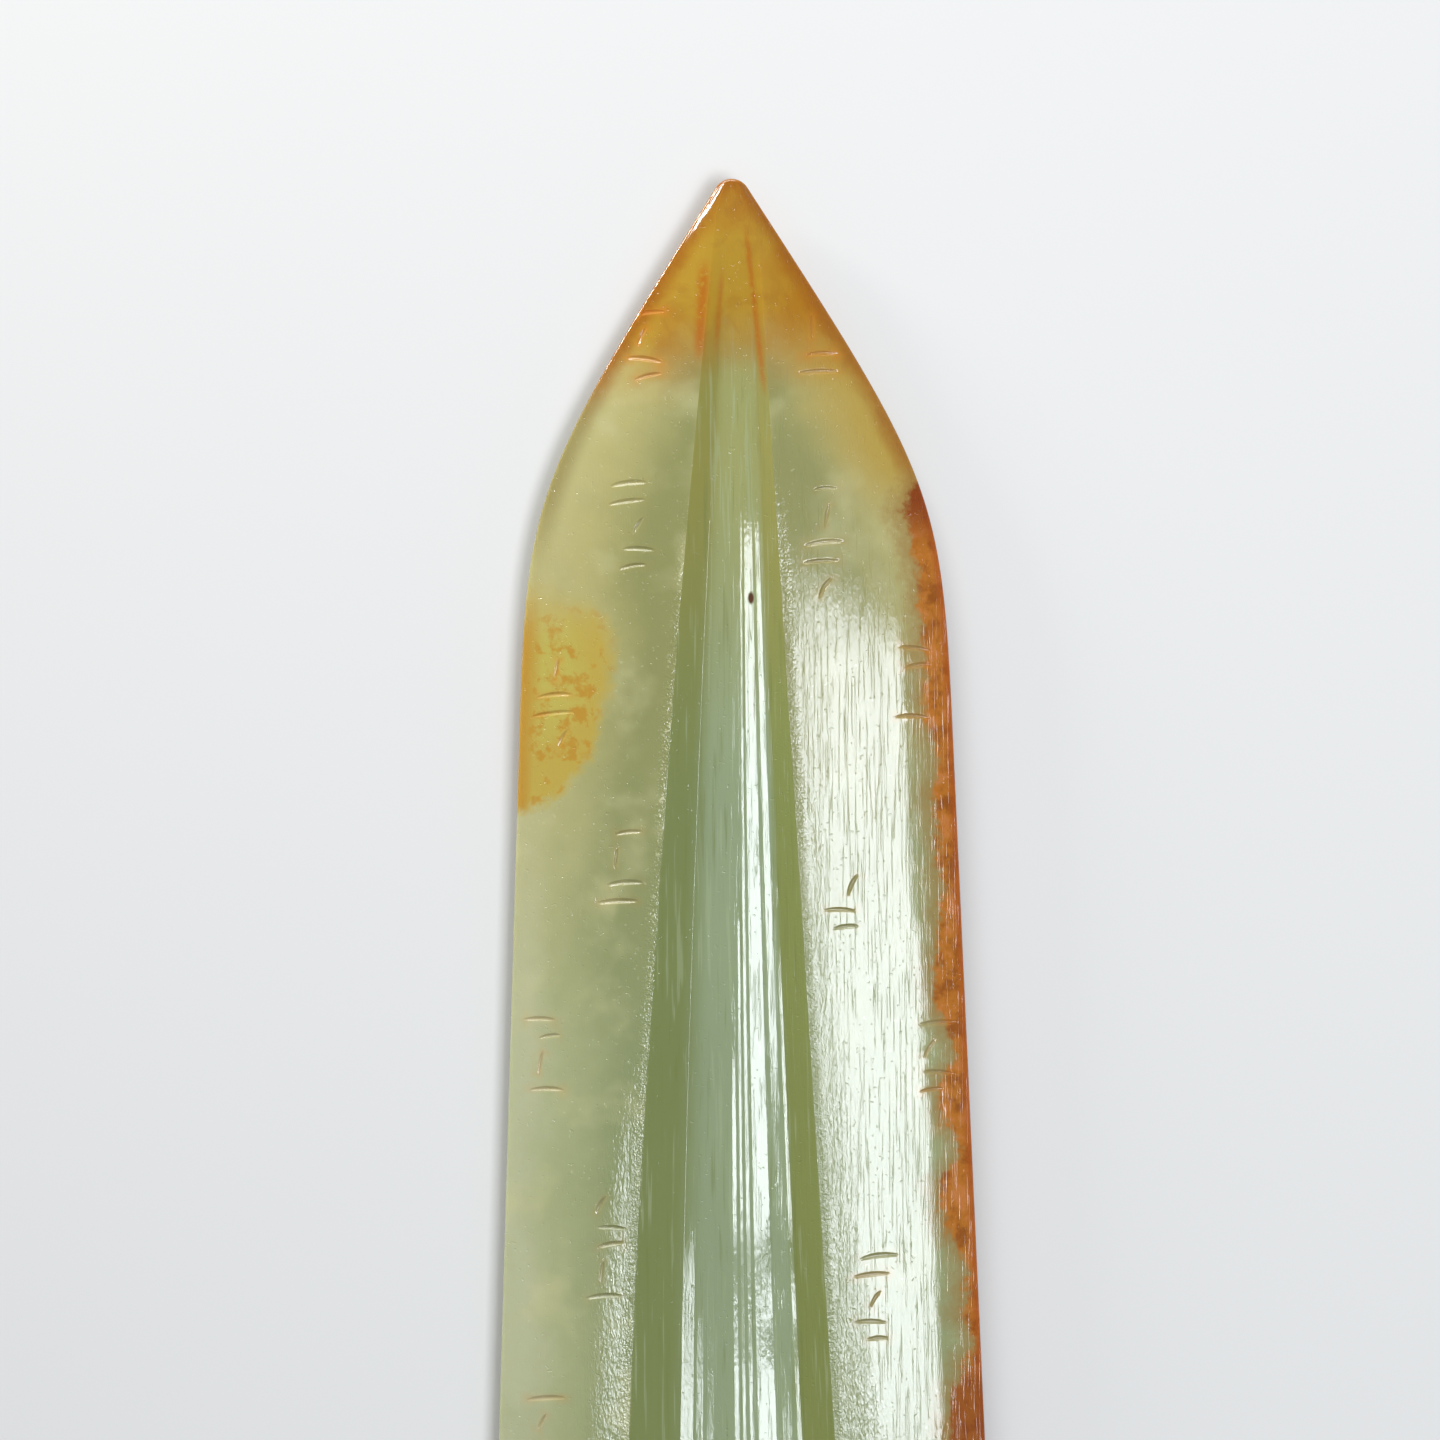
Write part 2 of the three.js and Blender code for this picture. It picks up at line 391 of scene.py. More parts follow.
# Each row starts five kinds further on than the row before
STROKE_KIND_STEP = 5
STROKE_GAP = 1.7
STROKE_HALF_WIDTH = 0.36
STROKE_DEPTH = 0.2
STROKE_STEP = 0.26
STROKE_END_WIDTH = 0.45
STROKE_SEED = 11
# How freely the strokes vary: shares of length, width, depth and rust, sideways and in degrees
STROKE_LENGTHS = (0.85, 1.1)
STROKE_WIDTHS = (0.88, 1.12)
STROKE_DEPTHS = (0.8, 1.15)
STROKE_RUSTS = (0.3, 1)
STROKE_STRAYS = (-0.9, 0.9)
STROKE_TURNS = (-5, 5)


def stroke_line(x, d, length, angle, bow):
    """Middle line of one stroke, as (x, d) points."""
    along = np.array([math.cos(math.radians(angle)), -math.sin(math.radians(angle))])
    outward = np.array([-along[1], along[0]])
    t = np.linspace(-0.5, 0.5, max(6, round(length / STROKE_STEP)) + 1)[:, None]
    return np.array([x, d]) + length * (t * along - bow * (1 - 4 * t ** 2) * outward)


def stroke_lines():
    """Every stroke as its middle line, half-width, depth and rust."""
    rng = np.random.default_rng(STROKE_SEED)
    strokes = []
    for row, (x, d, row_length, rust) in enumerate(STROKE_ROWS):
        at, kind = d - row_length / 2, STROKE_KIND_STEP * row
        while True:
            length, angle, bow = STROKE_KINDS[kind % len(STROKE_KINDS)]
            length *= rng.uniform(*STROKE_LENGTHS)
            tall = length * max(abs(math.sin(math.radians(angle))), 0.12)
            if at + tall > d + row_length / 2:
                break
            middle = x + rng.uniform(*STROKE_STRAYS), at + tall / 2
            path = stroke_line(*middle, length, angle + rng.uniform(*STROKE_TURNS), bow)
            width = STROKE_HALF_WIDTH * min(1, 0.62 + 0.1 * length) * rng.uniform(*STROKE_WIDTHS)
            depth = STROKE_DEPTH * rng.uniform(*STROKE_DEPTHS)
            strokes.append((path, width, depth, rust * rng.uniform(*STROKE_RUSTS)))
            at += tall + STROKE_GAP
            kind += 1
    return strokes


STROKES = stroke_lines()


def stroke_taper(along):
    """Share of a stroke's full depth at a share of its length, less toward both ends."""
    return np.sin(math.pi * np.clip(along, 0.02, 0.98)) ** 0.6


def cut_depths(x, d):
    """How deep the strokes cut at each point, in millimetres, and the rust that lies there."""
    depth = np.zeros(len(x))
    rust = np.zeros(len(x))
    for path, width, full_depth, stroke_rust in STROKES:
        low, high = path.min(axis=0) - 2 * width, path.max(axis=0) + 2 * width
        near = np.nonzero((x > low[0]) & (x < high[0]) & (d > low[1]) & (d < high[1]))[0]
        if not len(near):
            continue
        start, step = path[:-1], np.diff(path, axis=0)
        offset = np.stack([x[near], d[near]], axis=1)[:, None, :] - start[None]
        t = np.clip((offset * step).sum(axis=2) / (step ** 2).sum(axis=1), 0, 1)
        gap = np.linalg.norm(offset - t[..., None] * step, axis=2)
        nearest = gap.argmin(axis=1)
        rows = np.arange(len(near))
        along = (nearest + t[rows, nearest]) / len(step)
        taper = stroke_taper(along)
        reach = np.clip(gap[rows, nearest] / (width * lerp(STROKE_END_WIDTH, 1, taper)), 0, 1)
        cut = full_depth * taper * (1 - reach ** 2) ** 1.5
        deeper = cut > depth[near]
        depth[near[deeper]] = cut[deeper]
        around = stroke_rust * (1 - smoothstep(gap[rows, nearest], 0.4 * width, 1.8 * width))
        rust[near] = np.maximum(rust[near], around)
    return depth, rust


def surface_height(x, d, front):
    """Height above the middle plane on the front, or below it on the back."""
    blade = blade_height(x, np.minimum(d, BLADE_LENGTH), front)
    tang = tang_height(x, d, front)
    height = lerp(blade, tang, smoothstep(d, *HEEL_STEP))
    return height - cut_depths(x, d)[0] if front else height


def surface_normals(x, d, front):
    """Outward unit normals of the stone at (x, d), from the surface's own slopes."""
    step = 0.02
    slope_x = (surface_height(x + step, d, front) - surface_height(x - step, d, front)) / (2 * step)
    slope_d = (surface_height(x, d + step, front) - surface_height(x, d - step, front)) / (2 * step)
    normals = np.stack([-slope_x, slope_d, np.ones(len(x))], axis=1)
    if not front:
        normals[:, 2] *= -1
    return normals / np.linalg.norm(normals, axis=1)[:, None]


# ---------------------------------------------------------------- points of the two faces

# How far apart the mesh's points are on the front and on the back
FRONT_SPACING = 1.15
BACK_SPACING = 1.8
FRONT_ROW_SPACING = 1.0
BACK_ROW_SPACING = 1.6
TANG_SPACING = 1.6
TANG_COLUMNS = 45
CLOSEST_PLACES = 0.05
ARRIS_SOFTNESS = 0.04
ARRIS_SOFTNESS_GAIN = 0.07
ARRIS_SOFTNESS_FADE_IN = (50, 90)
BACK_CREASE_SOFTNESS = 0.2
FACETED_WIDTH = 5
BACK_CREASED_WIDTH = 3
PLAIN_CHANNEL_STEPS = 8
# Clear strips beside the border, the tang's corners and the hole, which have their own points
BORDER_CLEARANCE = 0.3
CORNER_CLEARANCE = 0.9
HOLE_CLEARANCE = 1.2
# Rows close behind the point and across the heel's step, and rings round the hole
TIP_ROWS = [0.9, 1.4, 2.0, 2.7]
FIRST_EVEN_ROW = 3.5
HEEL_ROWS = BLADE_LENGTH + np.array([-0.55, -0.3, -0.2, -0.1, 0, 0.1, 0.2, 0.35, 0.7])
HOLE_RINGS = (0.04, 0.12, 0.25, 0.4, 0.6, 0.9)
# More places on the channel's wide facets, and in the hollow beside the right arris
WIDE_FACET_SHARES = (0.07, 0.14, 0.465, 0.66, 0.69, 0.9, 0.95)
LIP_COLUMNS = (0.28, 0.42, 0.78, 0.95)
LIP_COLUMNS_START = 24
# Points across a stroke, as shares of its half-width, and past its ends; each cell keeps one
STROKE_COLUMNS = (-1.45, -1.05, -0.8, -0.5, -0.22, 0.22, 0.5, 0.8, 1.05, 1.45)
STROKE_END_GAPS = (0.1, 0.2, 0.36)
STROKE_CELL = 0.075


def bevel_places(width, spacing):
    """Even places inside a bevel of this width."""
    count = max(2, round(width / spacing))
    return np.linspace(0, width, count + 1)[1:-1]


def row_across(d, front):
    """Places across the blade where the mesh has points at distance d."""
    w = float(half_width(d))
    left, right = (float(v) for v in arrises(d, w))
    soft = float(ARRIS_SOFTNESS + ARRIS_SOFTNESS_GAIN * smoothstep(d, *ARRIS_SOFTNESS_FADE_IN))
    spacing = FRONT_SPACING if front else BACK_SPACING
    places = [-left - soft, -left + soft, right - soft, right + soft]
    places += list(-left - bevel_places(w - left, spacing))
    places += list(right + bevel_places(w - right, spacing))
    width = left + right
    if front and width > FACETED_WIDTH:
        for share in FACET_STARTS[1:]:
            edge = share * width - left
            places += [edge - CREASE_SOFTNESS, edge + CREASE_SOFTNESS]
        if d > LIP_COLUMNS_START:
            places += [right + r for r in LIP_COLUMNS]
        places += [share * width - left for share in WIDE_FACET_SHARES]
    else:
        places += list(np.linspace(-left, right, PLAIN_CHANNEL_STEPS + 1)[1:-1])
        if width > BACK_CREASED_WIDTH:
            for share in BACK_PLACES[1:-1]:
                crease = share * width - left
                places += [crease - BACK_CREASE_SOFTNESS, crease + BACK_CREASE_SOFTNESS]
    kept = []
    for place in sorted(places):
        apart = not kept or place - kept[-1] > CLOSEST_PLACES
        if apart and abs(place) < w - EDGE_INSET - BORDER_CLEARANCE:
            kept.append(place)
    return kept


def face_points(front):
    """Points inside the outline, on rows across the blade and the tang."""
    spacing = FRONT_ROW_SPACING if front else BACK_ROW_SPACING
    stops = TIP_ROWS + list(np.arange(FIRST_EVEN_ROW, BLADE_LENGTH - 1, spacing))
    points = [(place, d) for d in stops for place in row_across(d, front)]
    across_tang = np.linspace(-1, 1, TANG_COLUMNS)[1:-1] * (TANG_HALF_WIDTH - EDGE_INSET)
    points += [(place, d) for d in HEEL_ROWS for place in across_tang]
    radius = hole_radius(front)
    for d in np.arange(BLADE_LENGTH + TANG_SPACING, TOTAL_LENGTH - 1, TANG_SPACING):
        for place in across_tang[::2]:
            corner = np.hypot(max(abs(place) - TANG_HALF_WIDTH + TANG_CORNER, 0),
                              max(d - TOTAL_LENGTH + TANG_CORNER, 0))
            gap = math.hypot(place, d - HOLE_DISTANCE) - radius
            if corner < TANG_CORNER - CORNER_CLEARANCE and gap > HOLE_CLEARANCE:
                points.append((place, d))
    for ring in HOLE_RINGS:
        points += [tuple(p) for p in hole_loop(radius + ring)]
    return np.array(points)


def hole_loop(radius):
    """A ring of points round the middle of the hole."""
    angles = np.arange(HOLE_STEPS) * 2 * math.pi / HOLE_STEPS
    return np.stack([radius * np.cos(angles), HOLE_DISTANCE + radius * np.sin(angles)], axis=1)


def stroke_points():
    """Rows of points along and beside every stroke, thinned where strokes meet."""
    points = []
    for path, width, _, _ in STROKES:
        ahead = np.gradient(path, axis=0)
        ahead /= np.linalg.norm(ahead, axis=1)[:, None]
        side = np.stack([-ahead[:, 1], ahead[:, 0]], axis=1)
        for k in range(len(path)):
            taper = stroke_taper(k / (len(path) - 1))
            for reach in STROKE_COLUMNS:
                points.append(path[k] + side[k] * reach * width * lerp(STROKE_END_WIDTH, 1, taper))
        for end, way in ((path[0], -ahead[0]), (path[-1], ahead[-1])):
            points += [end + way * gap for gap in STROKE_END_GAPS]
    seen, kept = set(), []
    for point in points:
        cell = tuple(np.round(point / STROKE_CELL).astype(int))
        if cell not in seen:
            seen.add(cell)
            kept.append(point)
    return np.array(kept)


def away_from_strokes(points):
    """Mask of the points that lie clear of every stroke."""
    clear = np.ones(len(points), bool)
    for path, width, _, _ in STROKES:
        reach = 1.75 * width + 0.1
        low, high = path.min(axis=0) - reach, path.max(axis=0) + reach
        near = np.nonzero(((points > low) & (points < high)).all(axis=1))[0]
        if len(near):
            gaps = np.linalg.norm(points[near][:, None] - path[None], axis=2).min(axis=1)
            clear[near[gaps < reach]] = False
    return clear


def inside_loop(points, loop):
    """Mask of the points inside a closed loop."""
    inside = np.zeros(len(points), bool)
    for (ax, ay), (bx, by) in zip(loop, np.roll(loop, -1, axis=0)):
        if ay == by:
            continue
        crosses = (ay > points[:, 1]) != (by > points[:, 1])
        at = ax + (points[:, 1] - ay) * (bx - ax) / (by - ay)
        inside ^= crosses & (points[:, 0] < at)
    return inside


def face_mesh(front, border, hole):
    """Triangulates one face: returns its (x, d) points, border and hole first, and triangles."""
    body = face_points(front)
    body = body[inside_loop(body, border)]
    if front:
        cuts = stroke_points()
        cuts = cuts[inside_loop(cuts, border)]
        body = np.vstack([body[away_from_strokes(body)], cuts])
    points = np.vstack([border, hole, body])
    rings = [(0, len(border)), (len(border), len(hole))]
    edges = [(first + k, first + (k + 1) % count) for first, count in rings for k in range(count)]
    flat = [Vector(p) for p in points]
    _, _, faces, origin, _, _ = delaunay_2d_cdt(flat, edges, [], 0, 1e-5)
    source = np.array([min(o) if o else -1 for o in origin])
    triangles = source[np.array([tuple(f) for f in faces])]
    triangles = triangles[(triangles >= 0).all(axis=1)]
    centres = points[triangles].mean(axis=1)
    keep = inside_loop(centres, border) & ~inside_loop(centres, hole)
    return points, triangles[keep]


# ---------------------------------------------------------------- the whole solid

def bridge(rows):
    """Quads between successive closed rows of vertex numbers."""
    quads = []
    for upper, lower in zip(rows, rows[1:]):
        next_upper, next_lower = np.roll(upper, -1), np.roll(lower, -1)
        quads += np.stack((upper, lower, next_lower, next_upper), axis=1).tolist()
    return quads


# The hole's wall: rings of points between the faces, and faint rings left by the drill
WALL_STEPS = 8
DRILL_RING_HEIGHT = 0.03
DRILL_RING_TURNS = 40


class Stone:
    """Vertices, faces and normals of the axe head as they are gathered."""

    def __init__(self):
        self.points, self.normals, self.faces = [], [], []
        self.count = 0

    def add(self, x, d, z, normals):
        """Takes points at height z from the middle plane and returns their numbers."""
        first = self.count
        self.points.append(np.stack([x, TIP_Y - d, MID_Z + z], axis=1))
        self.normals.append(normals)
        self.count += len(x)
        return np.arange(first, self.count)


def add_face(stone, front, border, hole):
    """Adds one face: returns the numbers of its border and of its hole, and all its heights."""
    points, triangles = face_mesh(front, border, hole)
    x, d = points[:, 0], points[:, 1]
    height = surface_height(x, d, front)
    numbers = stone.add(x, d, height if front else -height, surface_normals(x, d, front))
    used = numbers[triangles[:, ::-1]] if front else numbers[triangles]
    stone.faces += used.tolist()
    return numbers[:len(border)], numbers[len(border):len(border) + len(hole)], height


def build_stone():
    """Both faces, the rim that joins them, and the wall of the hole."""
    loop, outward = outline_loop()
    border = loop - EDGE_INSET * outward
    front_hole, back_hole = hole_loop(HOLE_FRONT_RADIUS), hole_loop(HOLE_BACK_RADIUS)
    stone = Stone()
    top, top_hole, top_height = add_face(stone, True, border, front_hole)
    base, base_hole, base_height = add_face(stone, False, border, back_hole)

    # The rim: both faces turn over through a quarter of an ellipse to an upright band
    rows = [top]
    n = len(border)
    heights = {1: top_height[:n], -1: -base_height[:n]}
    flat = np.zeros((n, 1))
    sideways = np.hstack([outward * [1, -1], flat])
    for side in (1, -1):
        angles = np.arange(1, ROUNDING_STEPS + 1) * math.pi / 2 / ROUNDING_STEPS
        drop = np.minimum(EDGE_ROUNDING, EDGE_ROUNDING_LIMIT * np.abs(heights[side]))
        for angle in angles if side > 0 else angles[::-1]:
            place = border + EDGE_INSET * math.sin(angle) * outward
            z = heights[side] - side * drop * (1 - math.cos(angle))
            normals = math.sin(angle) * sideways + [0, 0, side * math.cos(angle)]
            rows.append(stone.add(place[:, 0], place[:, 1], z, normals))
    rows.append(base)
    stone.faces += bridge(rows)

    # The wall of the hole, a narrow cone with the faint rings of a drill
    wall = [top_hole]
    for share in np.linspace(0, 1, WALL_STEPS + 1)[1:-1]:
        radius = lerp(HOLE_FRONT_RADIUS, HOLE_BACK_RADIUS, share)
        radius += DRILL_RING_HEIGHT * math.sin(DRILL_RING_TURNS * share)
        ring = hole_loop(radius)
        z = lerp(top_height[n], -base_height[n], share)
        inward = np.hstack([(ring - [0, HOLE_DISTANCE]) * [-1, 1] / radius, np.zeros((len(ring), 1))])
        wall.append(stone.add(ring[:, 0], ring[:, 1], np.full(len(ring), z), inward))
    wall.append(base_hole)
    stone.faces += bridge(wall)
    return stone


# How far the russet skin reaches in from the right edge, at distances from the point
RUSSET_DISTANCES = (
    0, 36, 39, 42, 50, 60, 68, 74, 80, 88, 96, 102, 106, 110, 113,
    119, 122, 126, 132, 137, 142, 146, 151, 157, 166, 176, 190, 204, 218,
)
RUSSET_REACHES = (
    -3, -2, 1.2, 2.8, 3.0, 3.2, 2.8, 2.6, 2.8, 2.2, 2.8, 4.2, 3.0, 0.9, 3.4,
    2.8, 1.2, 4.2, 3.6, 0.8, 2.2, 0.9, 3.4, 4.6, 1.5, 3.0, 1.0, 2.6, 1.0,
)


def stone_object():
    """The fine mesh, with the measures over it that the jade's colours and relief are laid by."""
    stone = build_stone()
    points = np.vstack(stone.points)
    normals = np.vstack(stone.normals)
    # Points that no face uses are dropped
    used = np.unique(np.concatenate([np.ravel(f) for f in stone.faces]))
    renumber = np.full(len(points), -1)
    renumber[used] = np.arange(len(used))
    points, normals = points[used], normals[used]
    faces = [[int(renumber[i]) for i in face] for face in stone.faces]

    mesh = bpy.data.meshes.new("jade_axe_head")
    mesh.from_pydata((points * MM).tolist(), [], faces)
    mesh.update()
    mesh.shade_smooth()
    mesh.normals_split_custom_set_from_vertices(normals.tolist())

    x, d = points[:, 0], TIP_Y - points[:, 1]
    on_front = points[:, 2] > MID_Z
    w = half_width(d)
    left, right = arrises(d, w)
    depth, rust = cut_depths(x, d)
    fields = {
        "edge": w - np.abs(x),
        "share": (x + left) / np.maximum(left + right, 0.1),
        "cut": np.where(on_front, depth / STROKE_DEPTH, 0),
        "rust": np.where(on_front, rust, 0),
        "groove": channel_strength(d) * ((x > -left) & (x < right)),
        "russet": w - x - np.interp(d, RUSSET_DISTANCES, RUSSET_REACHES),
        "arris": np.minimum(np.abs(x + left), np.abs(x - right)),
    }
    for name, values in fields.items():
        attribute = mesh.attributes.new(name, "FLOAT", "POINT")
        attribute.data.foreach_set("value", values.astype(np.float32))
    piece = bpy.data.objects.new("jade_axe_head", mesh)
    bpy.context.scene.collection.objects.link(piece)
    return piece


piece = stone_object()


# ---------------------------------------------------------------- jade

def srgb(r, g, b):
    """A colour given as 0 to 255 display values, as linear RGBA."""
    def linear(v):
        v /= 255
        return v / 12.92 if v <= 0.04045 else ((v + 0.055) / 1.055) ** 2.4
    return (linear(r), linear(g), linear(b), 1)


class Graph:
    """Short names for the shader nodes that the jade is mixed from."""

    def __init__(self, tree):
        self.tree = tree

    def node(self, kind, inputs=(), **settings):
        node = self.tree.nodes.new("ShaderNode" + kind)
        for key, value in settings.items():
            setattr(node, key, value)
        for key, value in dict(inputs).items():
            if isinstance(value, bpy.types.NodeSocket):
                self.tree.links.new(value, node.inputs[key])
            else:
                node.inputs[key].default_value = value
        return node

    def field(self, name):
        return self.node("Attribute", attribute_name=name).outputs["Fac"]

    def math(self, operation, a, b=0.0, c=0.0):
        return self.node("Math", {0: a, 1: b, 2: c}, operation=operation).outputs[0]

    def add(self, *terms):
        total = terms[0]
        for term in terms[1:]:
            total = self.math("ADD", total, term)
        return total

    def times(self, *terms):
        total = terms[0]
        for term in terms[1:]:
            total = self.math("MULTIPLY", total, term)
        return total

    def scaled(self, value, factor, shift=0.0):
        """The value times a factor, plus a shift."""
        return self.math("MULTIPLY_ADD", value, factor, shift)

    def invert(self, value):
        return self.math("SUBTRACT", 1.0, value)

    def largest(self, *terms):
        top = terms[0]
        for term in terms[1:]:
            top = self.math("MAXIMUM", top, term)
        return top

    def ramp(self, value, low, high):
        """0 below low and 1 above high, smooth between; low above high turns it round."""
        if low > high:
            return self.invert(self.ramp(value, high, low))
        inputs = {"Value": value, "From Min": low, "From Max": high}
        return self.node("MapRange", inputs, interpolation_type="SMOOTHSTEP").outputs["Result"]

    def noise(self, place, scale, detail, roughness, distortion=0.0):
        inputs = {"Vector": place, "Scale": scale, "Detail": detail, "Roughness": roughness,
                  "Distortion": distortion}
        return self.node("TexNoise", inputs).outputs["Fac"]

    def stretched(self, place, across, along):
        """The place scaled so that noise on it has grain along the blade."""
        inputs = {0: place, 1: (across, along, across)}
        return self.node("VectorMath", inputs, operation="MULTIPLY").outputs[0]

    def mix(self, base, top, amount):
        """The base colour, with the top colour over it by a share between 0 and 1."""
        inputs = {0: amount, 6: base, 7: top}
        return self.node("Mix", inputs, data_type="RGBA", clamp_factor=True).outputs[2]

    def streak(self, x, d, start, end, width):
        """A soft line from start to end, each given as (x, d)."""
        lean = (end[0] - start[0]) / (end[1] - start[1])
        offset = self.math("SUBTRACT", x, self.scaled(d, lean, start[0] - lean * start[1]))
        body = self.ramp(self.math("ABSOLUTE", offset), width, 0)
        first = self.ramp(d, start[1] - 1.5, start[1] + 2)
        last = self.ramp(d, end[1] + 1, end[1] - 3)
        return self.times(body, first, last)

    def blob(self, x, d, centre, radii, soft):
        """A soft-edged oval patch."""
        u = self.scaled(x, 1 / radii[0], -centre[0] / radii[0])
        v = self.scaled(d, 1 / radii[1], -centre[1] / radii[1])
        return self.ramp(self.add(self.times(u, u), self.times(v, v)), 1 + soft, 1 - soft)


class Ground:
    """The places and noises over the stone that its colours and relief share."""

    def __init__(self, g):
        self.place = g.node("TexCoord").outputs["Object"]
        xyz = g.node("SeparateXYZ", {0: self.place})
        self.x = g.scaled(xyz.outputs["X"], 1 / MM)
        self.d = g.scaled(xyz.outputs["Y"], -1 / MM, TIP_Y)
        for name in ("edge", "share", "groove", "cut", "rust", "russet", "arris"):
            setattr(self, name, g.field(name))
        self.cloud = g.noise(self.place, 55, 3, 0.5, 0.3)
        self.mottle = g.noise(self.place, 230, 3, 0.6, 0.4)
        self.fleck = g.noise(self.place, 1300, 2, 0.6)
        self.grit = g.noise(self.place, 3000, 1, 0.6)
        self.grain = g.noise(g.stretched(self.place, 1500, 55), 1, 2, 0.6)
        # The same places pushed about, so that stains end in wandering borders
        ragged = g.scaled(self.fleck, 1.2, -0.6)
        sway = g.noise(self.place, 170, 3, 0.6, 0.2)
        self.wander_x = g.add(self.x, g.add(g.scaled(self.mottle, 3.2, -1.6), ragged))
        self.wander_d = g.add(self.d, g.add(g.scaled(sway, 5.0, -2.5), ragged))


def body_color(g, at):
    """Celadon: olive by the arrises, creamier to the thin edges, and greener down the blade. The change
    from olive to cream is partly the stone's colour and partly painted light, the glow of light through
    the thin stone.
    """
    down = g.ramp(at.d, 50, 120)
    inner = g.mix(srgb(143, 144, 91), srgb(140, 149, 104), down)
    middle = g.mix(srgb(176, 169, 112), srgb(164, 169, 125), down)
    # Partly painted light: the creamier outer tone stands for light glowing through the thin edges
    outer = g.mix(srgb(181, 174, 120), srgb(180, 183, 146), down)
    right = g.times(g.ramp(at.x, 0, 8), g.ramp(at.d, 38, 65))
    reach = g.add(at.edge, g.scaled(at.cloud, 10, -5), g.scaled(at.mottle, 4, -2), g.scaled(right, 6))
    color = g.mix(inner, middle, g.ramp(reach, 15.5, 5.5))
    color = g.mix(color, outer, g.ramp(reach, 7, 1.5))
    # Painted shade: a darker rim on the left of the point, where the edge turns over away from the light
    painted_rim_shade = g.times(g.ramp(at.edge, 3.4, 0.6), g.ramp(at.x, 0, -3), g.ramp(at.d, 52, 38))
    color = g.mix(color, srgb(146, 134, 80), g.times(painted_rim_shade, 0.8))
    # Milky and dark clouds, fainter on the right
    milky = g.noise(at.place, 110, 3, 0.5, 0.1)
    pale = g.times(g.ramp(milky, 0.5, 0.75), g.scaled(right, -0.35, 0.45))
    color = g.mix(color, srgb(198, 194, 146), pale)
    color = g.mix(color, srgb(134, 142, 92), g.times(g.ramp(milky, 0.45, 0.25), 0.2))
    # Painted glints as pale dots along the chipped left arris, and pale flecks everywhere
    painted_arris_glints = g.times(g.ramp(at.grit, 0.56, 0.64), g.ramp(at.arris, 1.6, 0), g.ramp(at.x, -2, -5))
    painted_arris_glints = g.times(painted_arris_glints, g.ramp(at.d, 34, 62), g.ramp(at.mottle, 0.42, 0.58))
    color = g.mix(color, srgb(228, 228, 190), g.times(painted_arris_glints, 0.6))
    return g.mix(color, srgb(206, 206, 168), g.times(g.ramp(at.fleck, 0.66, 0.78), 0.3))


def channel_color(g, at):
    """Sea green along the floor, olive on both walls, with faint lines of grinding. The walls' darker
    olive is partly the stone's colour and partly painted shade.
    """
    down = g.ramp(at.d, 30, 80)
    floor = g.mix(srgb(154, 156, 98), srgb(146, 160, 124), down)
    # The walls are darker partly as painted shade, since they slope away from the light
    left_wall_with_shade = g.mix(srgb(144, 141, 72), srgb(126, 137, 82), down)
    right_wall_with_shade = g.mix(srgb(150, 146, 80), srgb(132, 141, 78), down)
    wave = g.scaled(at.grain, 0.06, -0.03)
    color = g.mix(floor, left_wall_with_shade, g.ramp(g.add(at.share, wave), 0.38, 0.18))
    color = g.mix(color, right_wall_with_shade, g.ramp(g.add(at.share, wave), 0.8, 0.87))
    color = g.mix(color, srgb(120, 128, 70), g.times(g.ramp(at.grain, 0.56, 0.75), 0.5))
    return g.mix(color, srgb(166, 176, 140), g.times(g.ramp(at.grain, 0.42, 0.3), 0.4))


def add_tip_amber(g, at, color):
    """Amber skin of the pebble over the point, running on as yellow down the right bevel."""
    side = g.ramp(at.x, -2, 6)
    middle = g.ramp(g.math("ABSOLUTE", at.x), 5, 1)
    left = g.ramp(at.x, -4, -9)
    end = g.add(at.wander_d, g.scaled(middle, 1.0), g.scaled(side, 0.5), g.scaled(left, -1.5))
    tip = g.ramp(end, 29, 16)
    yellow_reach = g.add(g.scaled(at.edge, 0.9), g.scaled(at.cloud, 8, -4))
    yellow = g.times(g.ramp(at.x, 3, 8), g.ramp(at.wander_d, 47, 34), g.ramp(yellow_reach, 13, 1))
    color = g.mix(color, srgb(176, 148, 62), g.times(yellow, 0.9))
    deeper = g.ramp(g.add(at.cloud, g.scaled(at.x, 0.014)), 0.4, 0.62)
    amber = g.mix(srgb(176, 138, 32), srgb(168, 114, 12), deeper)
    amber = g.mix(amber, srgb(150, 92, 8), g.times(g.ramp(at.mottle, 0.5, 0.68), 0.3))
    color = g.mix(color, amber, g.times(tip, 0.95))
    rim_end = g.add(at.wander_d, g.scaled(g.ramp(at.x, -1, 1), -12))
    rim_reach = g.add(at.edge, g.scaled(at.mottle, 3, -1.5))
    rim = g.times(g.ramp(rim_reach, 3.2, 0.2), g.ramp(rim_end, 33, 22))
    color = g.mix(color, srgb(148, 84, 6), g.times(rim, 0.75))
    # Three rust-coloured cracks beside the channel's end
    cracks = g.largest(
        g.streak(at.x, at.d, (-3.5, 11), (-4.3, 23), 1.25),
        g.times(g.streak(at.x, at.d, (-1.3, 12), (-2.2, 22), 0.6), 0.6),
        g.times(g.streak(at.x, at.d, (1.8, 7), (3.9, 27), 0.6), 0.8),
    )
    return g.mix(color, srgb(174, 92, 2), g.times(cracks, g.ramp(at.fleck, 0.2, 0.5), 0.75))


